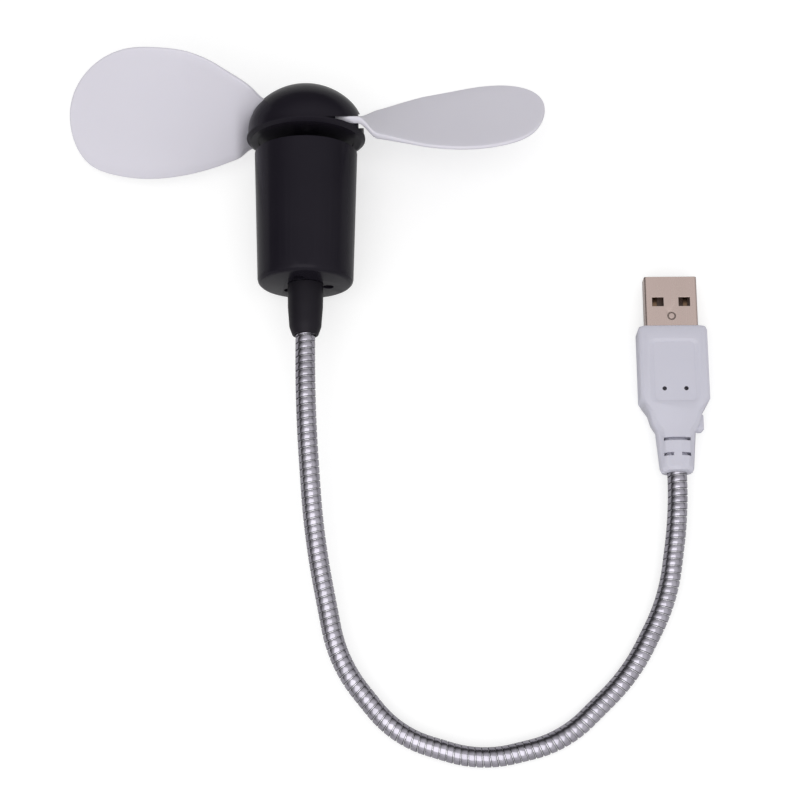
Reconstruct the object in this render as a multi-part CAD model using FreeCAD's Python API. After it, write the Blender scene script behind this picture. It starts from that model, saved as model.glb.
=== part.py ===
# USB gooseneck mini fan: a two-blade propeller on a small motor head, a wound steel
# gooseneck and a USB-A plug, lying flat on a table.
# Frame: millimetres, +Z up, the table at Z = 0. The origin is the centre of the plug grip's
# flat underside. The plug points along +Y, and so does the motor head's axis.
# Every piece is one solid, or one group of like solids, in a STEP file of its own.
import FreeCAD, Part
import math
import os

Vector = FreeCAD.Vector

# ---- USB plug ----
shell_width = 12.0          # standard USB-A plug
shell_height = 4.5
shell_sheet = 0.3
shell_corner = 0.55
shell_exposed = 11.9        # in front of the grip
shell_buried = 6.0          # inside the grip
window_width = 2.6
window_length = 2.1
window_from_front = 6.0
window_spacing = 6.05
punch_ring_outer = 0.95
punch_ring_groove = 0.28
punch_from_front = 9.4
punch_depth = 0.12
seam_gap = 0.12
tongue_thickness = 1.9
tongue_setback = 0.6
tongue_side_gap = 0.05
contact_width = 1.0
contact_sheet = 0.3
contact_stand_proud = 0.08
contact_places = [(-3.5, 7.4), (-1.0, 6.4), (1.0, 6.4), (3.5, 7.4)]   # X, length
contact_end_gap = 0.1
contact_setback = 0.15
pocket_gap = 0.05

# ---- plug grip ----
grip_width = 15.8
grip_height = 8.0
grip_length = 17.2
grip_corner = 1.6
grip_front_round = 1.0
taper_length = 7.5
# waist stations: (share of the taper, width, height, corner)
taper_stations = [(0.0, grip_width, grip_height, grip_corner), (0.16, 14.5, 7.9, 1.7),
                  (0.42, 12.1, 7.7, 2.1), (0.75, 11.0, 7.7, 2.7)]
relief_length = 9.3
relief_width = 9.1
relief_height = 7.6
relief_end_width = 7.7
relief_end_height = 7.0
relief_end_round = 1.0
relief_corner_share = 0.45  # of the relief's height
corner_steps = 3            # flats in each rounded corner
end_steps = 2               # flats in each rounded end
nub_radius = 1.2            # gate mark, a low lump on the taper's right side
nub_end_radius = 0.6
nub_end_slope = 0.7
nub_length = 4.6
nub_place_x = 5.3
nub_from_grip = 5.0         # its middle, behind the grip
relief_slot_reach = 3.0     # each side of the middle
relief_bridge = 0.9         # half the width of the rubber left across the second slot
relief_slot_width = 0.75
relief_slot_depth = 1.1
relief_slot_first = 1.65    # behind the start of the relief
relief_slot_pitch = 3.45
panel_width = 9.2
panel_length = 13.8
panel_corner = 1.0
panel_depth = 0.3
panel_from_front = 4.1
locator_hole_diameter = 1.0
locator_hole_depth = 1.2
locator_hole_spacing = 4.9
locator_hole_from_front = 15.1

# ---- gooseneck ----
head_x = -83.2              # the head's axis
rim_radius = 13.6           # the hub's rim rests on the table
neck_diameter = 4.5
neck_bore = 2.9
neck_pitch = 1.7            # one turn of the winding
turns_per_bend = 2
neck_fit_gap = 0.05
arc_share = 0.39            # of the shorter run beside each corner
lead_diameter = 1.1
lead_offset = 0.66
lead_end_gap = 0.5          # each side of a bending place
tube_start_y = -13.0        # inside the grip
loop_depth = 76.1           # from the neck's start to the far corner of its bend
# corners on the way: (share of the way across to the head, share of the loop's depth, height,
# whether the run after the corner carries a bending place)
route_stations = [(0.0, 0.2786, grip_height / 2, True), (0.0361, 0.5348, 2.7, False),
                  (0.1418, 0.7530, 2.45, True), (0.3245, 0.9448, 2.4, False),
                  (0.5409, 1.0, 2.45, True), (0.7620, 0.9264, 3.0, True),
                  (0.9147, 0.7201, 5.2, True), (0.9772, 0.3627, 9.2, True),
                  (1.0, -0.0237, rim_radius, False)]
# the wound wires are not modelled one by one: many-sided sections stand for them
hose_sides = 16
bore_sides = 8
lead_sides = 6

# ---- motor head ----
head_y = 16.7               # outer face of the housing's floor
housing_length = 31.5
housing_base_radius = 10.8
housing_mouth_radius = 11.75
housing_wall = 1.3
housing_floor = 1.5
housing_edge_round = 1.3
edge_steps = 3              # flats in that round
vent_diameter = 2.4
vent_circle_radius = 5.3
vent_first_angle = 16.0
vent_count = 3
cover_thickness = 1.5
cover_wall = 1.1
cover_gap = 0.05
cover_hole_radius = 3.2
rib_width = 1.6
rib_gap = 0.05
rib_angles = [30.0, 90.0, 150.0, 210.0, 270.0, 330.0]
rib_shelf_inset = 1.2

sleeve_length = 11.9        # outside the housing
sleeve_radius = 4.05
sleeve_end_radius = 2.9
sleeve_waist_radius = 3.0
sleeve_flange_radius = 3.8
sleeve_flange_thickness = 1.0
sleeve_swell = 0.1          # the sleeve widens by this towards the housing
sleeve_round_start = 5.4    # behind the housing, where the sleeve starts to round off
sleeve_round_middle = 9.9
sleeve_round_radius = 3.6   # at sleeve_round_middle
sleeve_gap = 0.05
clip_radius = 5.2
clip_thickness = 1.0
clip_mouth = 2.4

# ---- motor, heights above the outer face of the housing's floor ----
can_radius = 9.2
can_flats = 15.0
can_sheet = 0.6
can_face = 0.8
can_bottom = 8.0
can_front_gap = 2.0         # behind the front cover
end_cap_flange = 1.4
end_cap_spigot = 1.2
bush_radius = 2.5
bush_length = 3.0
front_bush_depth = 1.0      # inside the can's face
shaft_radius = 1.0
shaft_running_gap = 0.02
magnet_thickness = 1.9
magnet_span = 100.0
magnet_end_gap = 2.5
motor_air_gap = 0.4
pole_count = 3
pole_shoe_span = 98.0
pole_shoe_thickness = 1.0
pole_arm_width = 1.9
core_end_gap = 5.0
core_hub_radius = 2.2
coil_width = 4.0
coil_overhang = 1.0
coil_gap = 0.1
commutator_radius = 2.3
commutator_length = 2.2
commutator_slit = 0.3
brush_gap = 0.1
brush_sheet = 0.25
brush_height = 1.5
brush_reach = 3.0
brush_post = 1.2
brush_rise = 0.8            # of the brush above the end cap's spigot
commutator_rise = 0.6
commutator_rib_share = 0.65 # of the copper's radius, inner end of the slits
coil_foot_share = 0.6       # of the core hub's radius, how far in the coils start
core_overlap = 0.3
shaft_tail = 0.4            # behind the end cap
terminal_spacing = 10.9
terminal_sheet = 0.4
terminal_width = 2.2
terminal_length = 2.2
terminal_hole = 0.8
lead_bend_radius = 1.1
lead_rise = 0.1             # straight piece before the bend

# ---- rotor hub, heights above the rim's lower edge ----
rim_gap = 3.0               # between the housing's mouth and the rim
rim_height = 1.0
rim_bevel_width = 1.0
rim_bevel_height = 0.6
dome_radius = 13.3
dome_upright = 1.5          # straight part of the dome's wall, above the rim
dome_height = 12.4
hollow_waist_radius = 9.9   # inside the dome, where the hollow narrows
hollow_waist_height = 8.0
hollow_top_radius = 3.0
dome_shoulder = 9.0         # radius of the round between wall and crown
hub_wall = 1.2
collar_wall = 1.1
web_height = 0.2
web_thickness = 0.8
collar_height = 2.4
boss_radius = 3.0
boss_drop = 1.2
boss_top = 6.0
shaft_in_boss = 5.0
hub_seam = 0.05

# ---- blades ----
blade_radius = 54.8
blade_root_radius = 4.6     # inner end of the clamped tab
blade_flat_radius = 12.0    # the tab stays flat out to here
blade_free_radius = 16.5    # from here out the blade twists evenly
blade_free_pitch = 36.6
slot_low_offset = -8.6      # across the hub, the ends of the slot's middle line
slot_low_height = 1.9
slot_high_offset = 6.85
slot_high_height = 8.4
slot_mouth_gap = 0.4        # over the blade where it starts to twist
slot_mouth_drop = 1.15      # under it
blade_station_count = 8
blade_station_spread = 1.35 # the stations lie closer together near the hub
blade_overrun = 2.0         # of the sheet past the tip, before it is cut
blade_reach = 20.0          # of the sheet to each side, before it is cut
blade_bend_pitch = 43.5     # at blade_bend_radius
blade_twist = 0.39          # degrees for each millimetre beyond it
blade_axis_height = 5.5
blade_free_lift = -1.5      # of the sheet's middle, square to the chord
blade_bend_radius = 27.0    # the blade curls forward beyond here
blade_bend_lift = 4.1
blade_root_thickness = 1.6
blade_thickness = 0.9
blade_cut_pitch = 46.0      # the outline is cut square to this plane
# outline as (distance from the axis, place along the chord)
blade_low_edge = [(blade_root_radius, -6.6), (8.6, -8.5), (11.2, -8.4), (13.2, -8.1), (14.6, -8.8),
                  (16.5, -9.6), (20.0, -10.9), (27.0, -12.7), (36.0, -13.7), (45.4, -12.8), (50.4, -10.9)]
blade_high_edge = [(50.4, 10.8), (45.4, 15.2), (40.0, 17.6), (33.0, 18.3), (27.0, 17.8), (20.0, 15.1),
                   (15.5, 12.15), (13.6, 11.0), (12.0, 9.5), (9.2, 6.0), (blade_root_radius, 4.6)]
blade_tip_place = 0.6

# ---- room for cuts ----
overrun = 1.0               # how far a cut runs past the faces it opens
same_place = 1e-6           # closer than this, two places are one
nearly_upright = 0.5        # a direction's reach sideways, below which it counts as upright

# ---- values that follow from the sizes above ----
grip_front = grip_length / 2
grip_back = -grip_length / 2
relief_start = grip_back - taper_length
relief_end = relief_start - relief_length
plug_axis_z = grip_height / 2
head_z = rim_radius
rim_base = housing_length + rim_gap
end_cap_bottom = can_bottom - end_cap_flange
cover_bottom = housing_length - cover_thickness
can_top = cover_bottom - can_front_gap
can_length = can_top - can_bottom
magnet_length = can_length - 2 * magnet_end_gap
core_length = can_length - 2 * core_end_gap
slot_slope = math.atan2(slot_high_height - slot_low_height, slot_high_offset - slot_low_offset)
slot_lift = ((slot_low_height - blade_axis_height) * math.cos(slot_slope)
             - slot_low_offset * math.sin(slot_slope))
half_root = blade_root_thickness / 2
bend_gap = neck_pitch * turns_per_bend
sleeve_waist = housing_floor + clip_thickness + 2 * sleeve_gap
neck_end_y = head_y + sleeve_waist + sleeve_flange_thickness
magnet_outer = can_radius - can_sheet
magnet_inner = magnet_outer - magnet_thickness
core_radius = magnet_inner - motor_air_gap
core_bottom = can_bottom + (can_length - core_length) / 2
bush_bore = shaft_radius + shaft_running_gap

# The gooseneck's route from the grip to the head, as corners joined by tangent arcs.
neck_corners = [Vector(0.0, tube_start_y, plug_axis_z)]
for across_share, depth_share, height, _ in route_stations:
    neck_corners.append(Vector(across_share * head_x, tube_start_y - depth_share * loop_depth, height))
neck_corners.append(Vector(head_x, neck_end_y, head_z))
bending_run_numbers = [number + 1 for number, station in enumerate(route_stations) if station[3]]

head_place = FreeCAD.Placement(Vector(head_x, head_y, head_z), FreeCAD.Rotation(Vector(1, 0, 0), -90))
upright = Vector(0, 0, 1)


def export(shape, name):
    """Writes one piece and says how large it is."""
    shape.exportStep("parts/" + name + ".step")
    print(f"{name}: {len(shape.Solids)} solid(s), {shape.Volume:.1f} mm3")


def export_head(shape, name):
    placed = shape.copy()
    placed.Placement = head_place.multiply(placed.Placement)
    export(placed, name)


def box(x0, x1, y0, y1, z0, z1):
    return Part.makeBox(x1 - x0, y1 - y0, z1 - z0, Vector(x0, y0, z0))


def cylinder(radius, z0, z1, x=0.0, y=0.0):
    return Part.makeCylinder(radius, z1 - z0, Vector(x, y, z0))


def ring(outer, inner, z0, z1):
    return cylinder(outer, z0, z1).cut(cylinder(inner, z0, z1))


def revolve(points):
    """A solid of revolution about Z from (radius, height) points."""
    corners = [Vector(r, 0, z) for r, z in points]
    outline = Part.makePolygon(corners + [corners[0]])
    return Part.Face(outline).revolve(Vector(0, 0, 0), upright, 360)


def turned(shape, angle):
    copy = shape.copy()
    copy.rotate(Vector(0, 0, 0), upright, angle)
    return copy


def rounded_bar(width, height, corner, y0, y1, z):
    bar = box(-width / 2, width / 2, y0, y1, z - height / 2, z + height / 2)
    edges = [e for e in bar.Edges if abs(e.tangentAt(e.FirstParameter).y) > 0.9]
    return bar.makeFillet(corner, edges)


# ---- plug ----
def make_usb_shell():
    front = grip_front + shell_exposed
    back = grip_front - shell_buried
    shell = rounded_bar(shell_width, shell_height, shell_corner, back, front, plug_axis_z)
    inside = rounded_bar(shell_width - 2 * shell_sheet, shell_height - 2 * shell_sheet,
                         shell_corner - shell_sheet, back - overrun, front + overrun, plug_axis_z)
    shell = shell.cut(inside)
    window_y = front - window_from_front
    for side in (-1, 1):
        x = side * window_spacing / 2
        shell = shell.cut(box(x - window_width / 2, x + window_width / 2, window_y - window_length / 2,
                              window_y + window_length / 2, -overrun, grip_height + overrun))
    underside = plug_axis_z - shell_height / 2
    shell = shell.cut(box(-seam_gap / 2, seam_gap / 2, back - overrun, front + overrun,
                          underside - overrun, underside + 2 * shell_sheet))
    top = plug_axis_z + shell_height / 2
    groove = ring(punch_ring_outer, punch_ring_outer - punch_ring_groove, top - punch_depth, top + overrun)
    open_side = box(0, 2 * punch_ring_outer, -punch_ring_outer / 2, punch_ring_outer / 2, 0, 2 * top)
    groove = groove.cut(open_side)
    groove.translate(Vector(0, front - punch_from_front, 0))
    return shell.cut(groove)


def tongue_top():
    return plug_axis_z - shell_height / 2 + shell_sheet + tongue_thickness


def make_usb_tongue():
    front = grip_front + shell_exposed
    back = grip_front - shell_buried
    floor = plug_axis_z - shell_height / 2 + shell_sheet
    ceiling = plug_axis_z + shell_height / 2 - shell_sheet
    half = shell_width / 2 - shell_corner
    tongue = box(-half, half, back, front - tongue_setback, floor, tongue_top())
    block = box(-half, half, back, grip_front, floor, ceiling)
    tongue = tongue.fuse(block).removeSplitter()
    for x, length in contact_places:
        start = front - tongue_setback - length
        width = contact_width / 2 + tongue_side_gap
        tongue = tongue.cut(box(x - width, x + width, start, front,
                                tongue_top() - contact_sheet, tongue_top() + contact_sheet))
    return tongue


def make_usb_contacts():
    front = grip_front + shell_exposed - tongue_setback - contact_end_gap
    low = tongue_top() - contact_sheet
    high = tongue_top() + contact_stand_proud
    strips = []
    for x, length in contact_places:
        strip = box(x - contact_width / 2, x + contact_width / 2, front - length + contact_setback,
                    front, low, high)
        nose = [e for e in strip.Edges if abs(e.CenterOfMass.y - front) < same_place
                and abs(e.CenterOfMass.z - high) < same_place]
        strips.append(strip.makeChamfer(contact_sheet / 2, nose))
    return Part.makeCompound(strips)


def cut_corner_outline(width, height, corner, y):
    """A rectangle across the plug whose corners are rounded off in steps."""
    points = []
    for quarter, (x_side, z_side) in enumerate([(1, 1), (-1, 1), (-1, -1), (1, -1)]):
        x = x_side * (width / 2 - corner)
        z = plug_axis_z + z_side * (height / 2 - corner)
        for step in range(corner_steps + 1):
            angle = math.pi / 2 * (quarter + step / corner_steps)
            points.append(Vector(x + corner * math.cos(angle), y, z + corner * math.sin(angle)))
    return Part.makePolygon(points + [points[0]])


def relief_slot(y, across_top):
    """Slots cut into the strain relief's two broad faces; the second pair is bridged in the middle."""
    back = y - relief_slot_width
    deep = 2 * relief_slot_depth
    core = cut_corner_outline(relief_end_width - deep, relief_end_height - deep,
                              (relief_end_height - deep) * relief_corner_share, back)
    slot = box(-relief_slot_reach, relief_slot_reach, back, y, -relief_height, 2 * relief_height)
    slot = slot.cut(Part.Face(core).extrude(Vector(0, relief_slot_width, 0)))
    if across_top:
        return slot
    return slot.cut(box(-relief_bridge, relief_bridge, back, y, -relief_height, 2 * relief_height))


def eased_end(width, height, corner, y, inwards, radius):
    """Outlines that round off an end, from the full outline to the end face."""
    outlines = []
    for step in range(end_steps + 1):
        angle = math.radians(90 * step / end_steps)
        inset = radius * (1 - math.cos(angle))
        place = y + inwards * radius * (1 - math.sin(angle))
        outlines.append(cut_corner_outline(width - 2 * inset, height - 2 * inset, corner - inset / 2, place))
    return outlines


def gate_mark():
    """The low lump left where the rubber was let into the mould."""
    half = nub_length / 2
    lump = revolve([(0, -half), (nub_end_radius, -half), (nub_radius, nub_end_slope - half),
                    (nub_radius, half - nub_end_slope), (nub_end_radius, half), (0, half)])
    lump.rotate(Vector(0, 0, 0), Vector(1, 0, 0), 90)
    lump.translate(Vector(nub_place_x, grip_back - nub_from_grip, plug_axis_z))
    return lump


def make_plug_overmold():
    front_end = eased_end(grip_width, grip_height, grip_corner, grip_front, -1, grip_front_round)
    waist = [cut_corner_outline(width, height, corner, grip_back - share * taper_length)
             for share, width, height, corner in taper_stations]
    relief_top = cut_corner_outline(relief_width, relief_height, relief_height * relief_corner_share,
                                    relief_start)
    tail_end = eased_end(relief_end_width, relief_end_height, relief_end_height * relief_corner_share,
                         relief_end, 1, relief_end_round)
    body = Part.makeLoft(front_end[::-1] + waist + [relief_top] + tail_end, True, True)
    body = body.cut(relief_slot(relief_start - relief_slot_first, True))
    body = body.cut(relief_slot(relief_start - relief_slot_first - relief_slot_pitch, False))
    pocket_floor = grip_front - shell_buried - pocket_gap
    pocket = rounded_bar(shell_width + 2 * pocket_gap, shell_height + 2 * pocket_gap,
                         shell_corner + pocket_gap, pocket_floor, grip_front + overrun, plug_axis_z)
    body = body.cut(pocket)
    bore_end = tube_start_y + neck_fit_gap
    bore = Part.makeCylinder(neck_diameter / 2 + neck_fit_gap, bore_end - relief_end + overrun,
                             Vector(0, relief_end - overrun, plug_axis_z), Vector(0, 1, 0))
    body = body.cut(bore)
    panel_front = grip_front - panel_from_front
    panel = box(-panel_width / 2, panel_width / 2, panel_front - panel_length, panel_front,
                grip_height - panel_depth, grip_height + overrun)
    uprights = [e for e in panel.Edges if abs(e.tangentAt(e.FirstParameter).z) > 0.9]
    body = body.cut(panel.makeFillet(panel_corner, uprights))
    for side in (-1, 1):
        body = body.cut(cylinder(locator_hole_diameter / 2, grip_height - panel_depth - locator_hole_depth,
                                 grip_height, side * locator_hole_spacing / 2,
                                 grip_front - locator_hole_from_front))
    return body.fuse(gate_mark())


# ---- gooseneck ----
def run_direction(index):
    return (neck_corners[index + 1] - neck_corners[index]).normalize()


def run_length(index):
    return (neck_corners[index + 1] - neck_corners[index]).Length


def corner_trim(index):
    """How far before and after a corner its arc begins and ends."""
    if index == 0 or index == len(neck_corners) - 1:
        return 0.0
    return arc_share * min(run_length(index - 1), run_length(index))


def corner_arc(index):
    corner = neck_corners[index]
    trim = corner_trim(index)
    before = run_direction(index - 1)
    after = run_direction(index)
    start = corner - before * trim
    end = corner + after * trim
    half_turn = before.getAngle(after) / 2
    radius = trim / math.tan(half_turn)
    inward = (after - before).normalize()
    middle = corner + inward * (radius / math.cos(half_turn) - radius)
    return start, middle, end


def bending_place(run):
    """The middle of a run's straight stretch."""
    start = neck_corners[run] + run_direction(run) * corner_trim(run)
    end = neck_corners[run + 1] - run_direction(run) * corner_trim(run + 1)
    return (start + end) * 0.5


def stretch_path(number, end_gap):
    """The centre line of one length of neck, between two bending places."""
    first_run = 0 if number == 0 else bending_run_numbers[number - 1]
    last_run = len(neck_corners) - 2 if number == len(bending_run_numbers) else bending_run_numbers[number]
    if number == 0:
        here = neck_corners[0]
    else:
        here = bending_place(first_run) + run_direction(first_run) * end_gap
    if number == len(bending_run_numbers):
        finish = neck_corners[-1]
    else:
        finish = bending_place(last_run) - run_direction(last_run) * end_gap
    edges = []
    for corner in range(first_run + 1, last_run + 1):
        start, middle, end = corner_arc(corner)
        edges.append(Part.LineSegment(here, start).toShape())
        edges.append(Part.Arc(start, middle, end).toShape())
        here = end
    edges.append(Part.LineSegment(here, finish).toShape())
    return Part.Wire(edges), run_direction(first_run)


def many_sided(centre, direction, radius, sides):
    """A regular outline across a direction, its corners on the radius."""
    sideways = direction.cross(upright)
    if sideways.Length < nearly_upright:
        sideways = Vector(1, 0, 0)
    sideways.normalize()
    upwards = sideways.cross(direction)
    corners = []
    for index in range(sides):
        angle = 2 * math.pi * (index + 0.5) / sides
        corners.append(centre + sideways * (radius * math.cos(angle)) + upwards * (radius * math.sin(angle)))
    return Part.makePolygon(corners + [corners[0]])


def rod_along(path, direction, radius, offset, sides):
    section = many_sided(path.Vertexes[0].Point + offset, direction, radius, sides)
    return path.makePipeShell([section], True, False)


def make_neck_tube(number):
    path, direction = stretch_path(number, bend_gap / 2)
    outside = rod_along(path, direction, neck_diameter / 2, Vector(), hose_sides)
    bore = rod_along(path, direction, neck_bore / 2, Vector(), bore_sides)
    return outside.cut(bore)


def make_supply_leads(number):
    path, direction = stretch_path(number, lead_end_gap)
    sideways = direction.cross(upright).normalize() * lead_offset
    leads = [rod_along(path, direction, lead_diameter / 2, sideways * side, lead_sides) for side in (-1, 1)]
    return Part.makeCompound(leads)


def make_neck_turns(number):
    run = bending_run_numbers[number]
    direction = run_direction(run)
    start = bending_place(run) - direction * (bend_gap / 2)
    outline = Part.Face(many_sided(start, direction, neck_diameter / 2, hose_sides))
    bore = Part.Face(many_sided(start, direction, neck_bore / 2, bore_sides))
    return outline.extrude(direction * bend_gap).cut(bore.extrude(direction * bend_gap))


# ---- motor head, along local Z ----
def housing_radius_at(z):
    return housing_base_radius + (housing_mouth_radius - housing_base_radius) * z / housing_length


def make_motor_housing():
    outline = [(0, 0)]
    for step in range(edge_steps + 1):
        angle = math.radians(90 * step / edge_steps)
        inset = housing_edge_round * (1 - math.sin(angle))
        outline.append((housing_radius_at(housing_edge_round) - inset,
                        housing_edge_round * (1 - math.cos(angle))))
    outline += [(housing_mouth_radius, housing_length), (0, housing_length)]
    outside = revolve(outline)
    bore_radius = housing_radius_at(housing_floor) - housing_wall
    housing = outside.cut(cylinder(bore_radius, housing_floor, housing_length))
    for angle in rib_angles:
        on_flat = abs(math.sin(math.radians(angle))) > 0.9
        grip = (can_flats / 2 if on_flat else can_radius) + rib_gap
        upper = box(grip, housing_mouth_radius, -rib_width / 2, rib_width / 2, housing_floor, can_top)
        shelf = box(grip - rib_shelf_inset, housing_mouth_radius, -rib_width / 2, rib_width / 2,
                    housing_floor, end_cap_bottom)
        rib = turned(upper.fuse(shelf), angle).common(outside)
        housing = housing.fuse(rib)
    housing = housing.cut(cylinder(housing_mouth_radius - cover_wall, cover_bottom, housing_length))
    housing = housing.cut(cylinder(sleeve_waist_radius + sleeve_gap, 0, housing_floor))
    for hole in range(vent_count):
        angle = math.radians(vent_first_angle + hole * 360 / vent_count)
        housing = housing.cut(cylinder(vent_diameter / 2, 0, housing_floor,
                                       vent_circle_radius * math.cos(angle),
                                       vent_circle_radius * math.sin(angle)))
    return housing.removeSplitter()


def make_front_cover():
    cover = cylinder(housing_mouth_radius - cover_wall - cover_gap, cover_bottom, housing_length)
    return cover.cut(cylinder(cover_hole_radius, cover_bottom, housing_length))


def make_neck_sleeve():
    bore = neck_diameter / 2 + sleeve_gap
    top = sleeve_waist + sleeve_flange_thickness
    return revolve([
        (sleeve_radius - sleeve_swell, -sleeve_round_start),
        (sleeve_radius, 0),
        (sleeve_waist_radius, 0),
        (sleeve_waist_radius, sleeve_waist),
        (sleeve_flange_radius, sleeve_waist),
        (sleeve_flange_radius, top),
        (bore, top),
        (bore, -sleeve_length),
        (sleeve_end_radius, -sleeve_length),
        (sleeve_round_radius, -sleeve_round_middle),
    ])


def make_neck_clip():
    low = housing_floor + sleeve_gap
    clip = ring(clip_radius, sleeve_waist_radius + sleeve_gap, low, low + clip_thickness)
    return clip.cut(box(-clip_mouth / 2, clip_mouth / 2, 0, 2 * clip_radius, low, low + clip_thickness))


# ---- motor ----
def flatted(radius, flats, z0, z1):
    """A round bar with two flats, as the motor's can."""
    return cylinder(radius, z0, z1).common(box(-radius, radius, -flats / 2, flats / 2, z0, z1))


def make_motor_can():
    can = flatted(can_radius, can_flats, can_bottom, can_top)
    can = can.cut(flatted(magnet_outer, can_flats - 2 * can_sheet, can_bottom, can_top - can_face))
    return can.cut(cylinder(bush_radius, can_top - can_face, can_top))


def make_magnets():
    low = can_bottom + magnet_end_gap
    arc = ring(magnet_outer, magnet_inner, low, low + magnet_length)
    arc = arc.common(box(-can_radius, can_radius, -can_flats / 2 + can_sheet, can_flats / 2 - can_sheet,
                         low, low + magnet_length))
    reach = 2 * can_radius
    half = math.radians(magnet_span / 2)
    corner = Vector(reach * math.cos(half), reach * math.sin(half), low)
    centre = Vector(0, 0, low)
    wedge = Part.makePolygon([centre, corner, Vector(corner.x, -corner.y, low), centre])
    right = arc.common(Part.Face(wedge).extrude(upright * magnet_length))
    return Part.makeCompound([right, turned(right, 180)])


def make_end_cap():
    cap = flatted(can_radius, can_flats, end_cap_bottom, can_bottom)
    inner_fit = cover_gap
    spigot = flatted(magnet_outer - inner_fit, can_flats - 2 * can_sheet - 2 * inner_fit, can_bottom,
                     can_bottom + end_cap_spigot)
    return cap.fuse(spigot).cut(cylinder(bush_radius, end_cap_bottom, can_bottom + end_cap_spigot))


def make_bush(z0):
    return ring(bush_radius, bush_bore, z0, z0 + bush_length)


def make_shaft():
    return cylinder(shaft_radius, end_cap_bottom - shaft_tail, rim_base + shaft_in_boss)


def make_core():
    low = core_bottom
    core = ring(core_hub_radius, shaft_radius, low, low + core_length)
    shoe = ring(core_radius, core_radius - pole_shoe_thickness, low, low + core_length)
    reach = 2 * core_radius
    half = math.radians(pole_shoe_span / 2)
    corner = Vector(reach * math.cos(half), reach * math.sin(half), low)
    centre = Vector(0, 0, low)
    wedge = Part.makePolygon([centre, corner, Vector(corner.x, -corner.y, low), centre])
    shoe = shoe.common(Part.Face(wedge).extrude(upright * core_length))
    arm = box(core_hub_radius - core_overlap, core_radius - pole_shoe_thickness / 2, -pole_arm_width / 2,
              pole_arm_width / 2, low, low + core_length)
    pole = arm.fuse(shoe)
    for index in range(pole_count):
        core = core.fuse(turned(pole, 90 + index * 360 / pole_count))
    return core.removeSplitter()


def make_windings():
    low = core_bottom - coil_overhang
    high = core_bottom + core_length + coil_overhang
    inner = coil_width / 2 / math.tan(math.radians(180 / pole_count)) + core_hub_radius * coil_foot_share
    outer = math.sqrt((core_radius - pole_shoe_thickness - coil_gap) ** 2 - (coil_width / 2) ** 2)
    coil = box(inner, outer, -coil_width / 2, coil_width / 2, low, high)
    coil = coil.cut(box(0, 2 * outer, -pole_arm_width / 2, pole_arm_width / 2, core_bottom,
                        core_bottom + core_length))
    return Part.makeCompound([turned(coil, 90 + index * 360 / pole_count) for index in range(pole_count)])


def make_commutator():
    low = can_bottom + end_cap_spigot + commutator_rise
    copper = ring(commutator_radius, shaft_radius, low, low + commutator_length)
    for index in range(pole_count):
        slit = box(commutator_radius * commutator_rib_share, 2 * commutator_radius, -commutator_slit / 2,
                   commutator_slit / 2, low, low + commutator_length)
        copper = copper.cut(turned(slit, 30 + index * 360 / pole_count))
    return copper


def make_brushes():
    seat = can_bottom + end_cap_spigot
    inner = commutator_radius + brush_gap
    low = seat + brush_rise
    leaf = box(-brush_reach, brush_reach, inner, inner + brush_sheet, low, low + brush_height)
    post = box(brush_reach - brush_post, brush_reach, inner, inner + brush_post, seat, low + brush_height)
    brush = leaf.fuse(post).removeSplitter()
    return Part.makeCompound([brush, turned(brush, 180)])


def make_terminals():
    low = end_cap_bottom - terminal_length
    tabs = []
    for side in (-1, 1):
        x = side * terminal_spacing / 2
        tab = box(x - terminal_sheet / 2, x + terminal_sheet / 2, -terminal_width / 2, terminal_width / 2,
                  low, end_cap_bottom)
        hole = Part.makeCylinder(terminal_hole / 2, 2 * overrun,
                                 Vector(x - overrun, 0, end_cap_bottom - terminal_hole), Vector(1, 0, 0))
        tabs.append(tab.cut(hole))
    return Part.makeCompound(tabs)


def make_head_leads():
    """The two leads from the gooseneck's end to the motor's terminals."""
    start_z = sleeve_waist + sleeve_flange_thickness
    reach = terminal_spacing / 2 - terminal_sheet / 2
    turn = lead_bend_radius
    leads = []
    for side in (-1, 1):
        x = side * lead_offset
        bend_start = Vector(x, 0, start_z + lead_rise)
        bend_middle = Vector(x + side * turn * (1 - math.cos(math.radians(45))), 0,
                             start_z + lead_rise + turn * math.sin(math.radians(45)))
        bend_end = Vector(x + side * turn, 0, start_z + lead_rise + turn)
        path = Part.Wire([
            Part.LineSegment(Vector(x, 0, start_z), bend_start).toShape(),
            Part.Arc(bend_start, bend_middle, bend_end).toShape(),
            Part.LineSegment(bend_end, Vector(side * reach, 0, bend_end.z)).toShape(),
        ])
        leads.append(rod_along(path, upright, lead_diameter / 2, Vector(), lead_sides))
    return Part.makeCompound(leads)


# ---- rotor, along local Z above the rim's lower edge ----
def arc_point(centre, radius, angle):
    return centre + Vector(radius * math.cos(angle), 0, radius * math.sin(angle))


def arc_between(centre, radius, start, end):
    return Part.Arc(arc_point(centre, radius, start), arc_point(centre, radius, (start + end) / 2),
                    arc_point(centre, radius, end)).toShape()


def dome_solid():
    """The dome, filled: an upright part, a round shoulder and a flatter crown."""
    shoulder_z = rim_height + dome_upright
    rise = dome_height - dome_upright
    across = dome_radius - dome_shoulder
    crown = (across ** 2 + rise ** 2 - dome_shoulder ** 2) / (2 * (rise - dome_shoulder))
    meeting = math.atan2(crown - rise, across)
    foot = Vector(dome_radius, 0, rim_height)
    top = Vector(0, 0, rim_height + dome_height)
    shoulder_start = Vector(dome_radius, 0, shoulder_z)
    profile = Part.Wire([
        Part.LineSegment(Vector(0, 0, rim_height), foot).toShape(),
        Part.LineSegment(foot, shoulder_start).toShape(),
        arc_between(Vector(across, 0, shoulder_z), dome_shoulder, 0, meeting),
        arc_between(Vector(0, 0, shoulder_z + rise - crown), crown, meeting, math.pi / 2),
        Part.LineSegment(top, Vector(0, 0, rim_height)).toShape(),
    ])
    return turned(Part.Face(profile).revolve(Vector(), upright, 360), 90)


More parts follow.
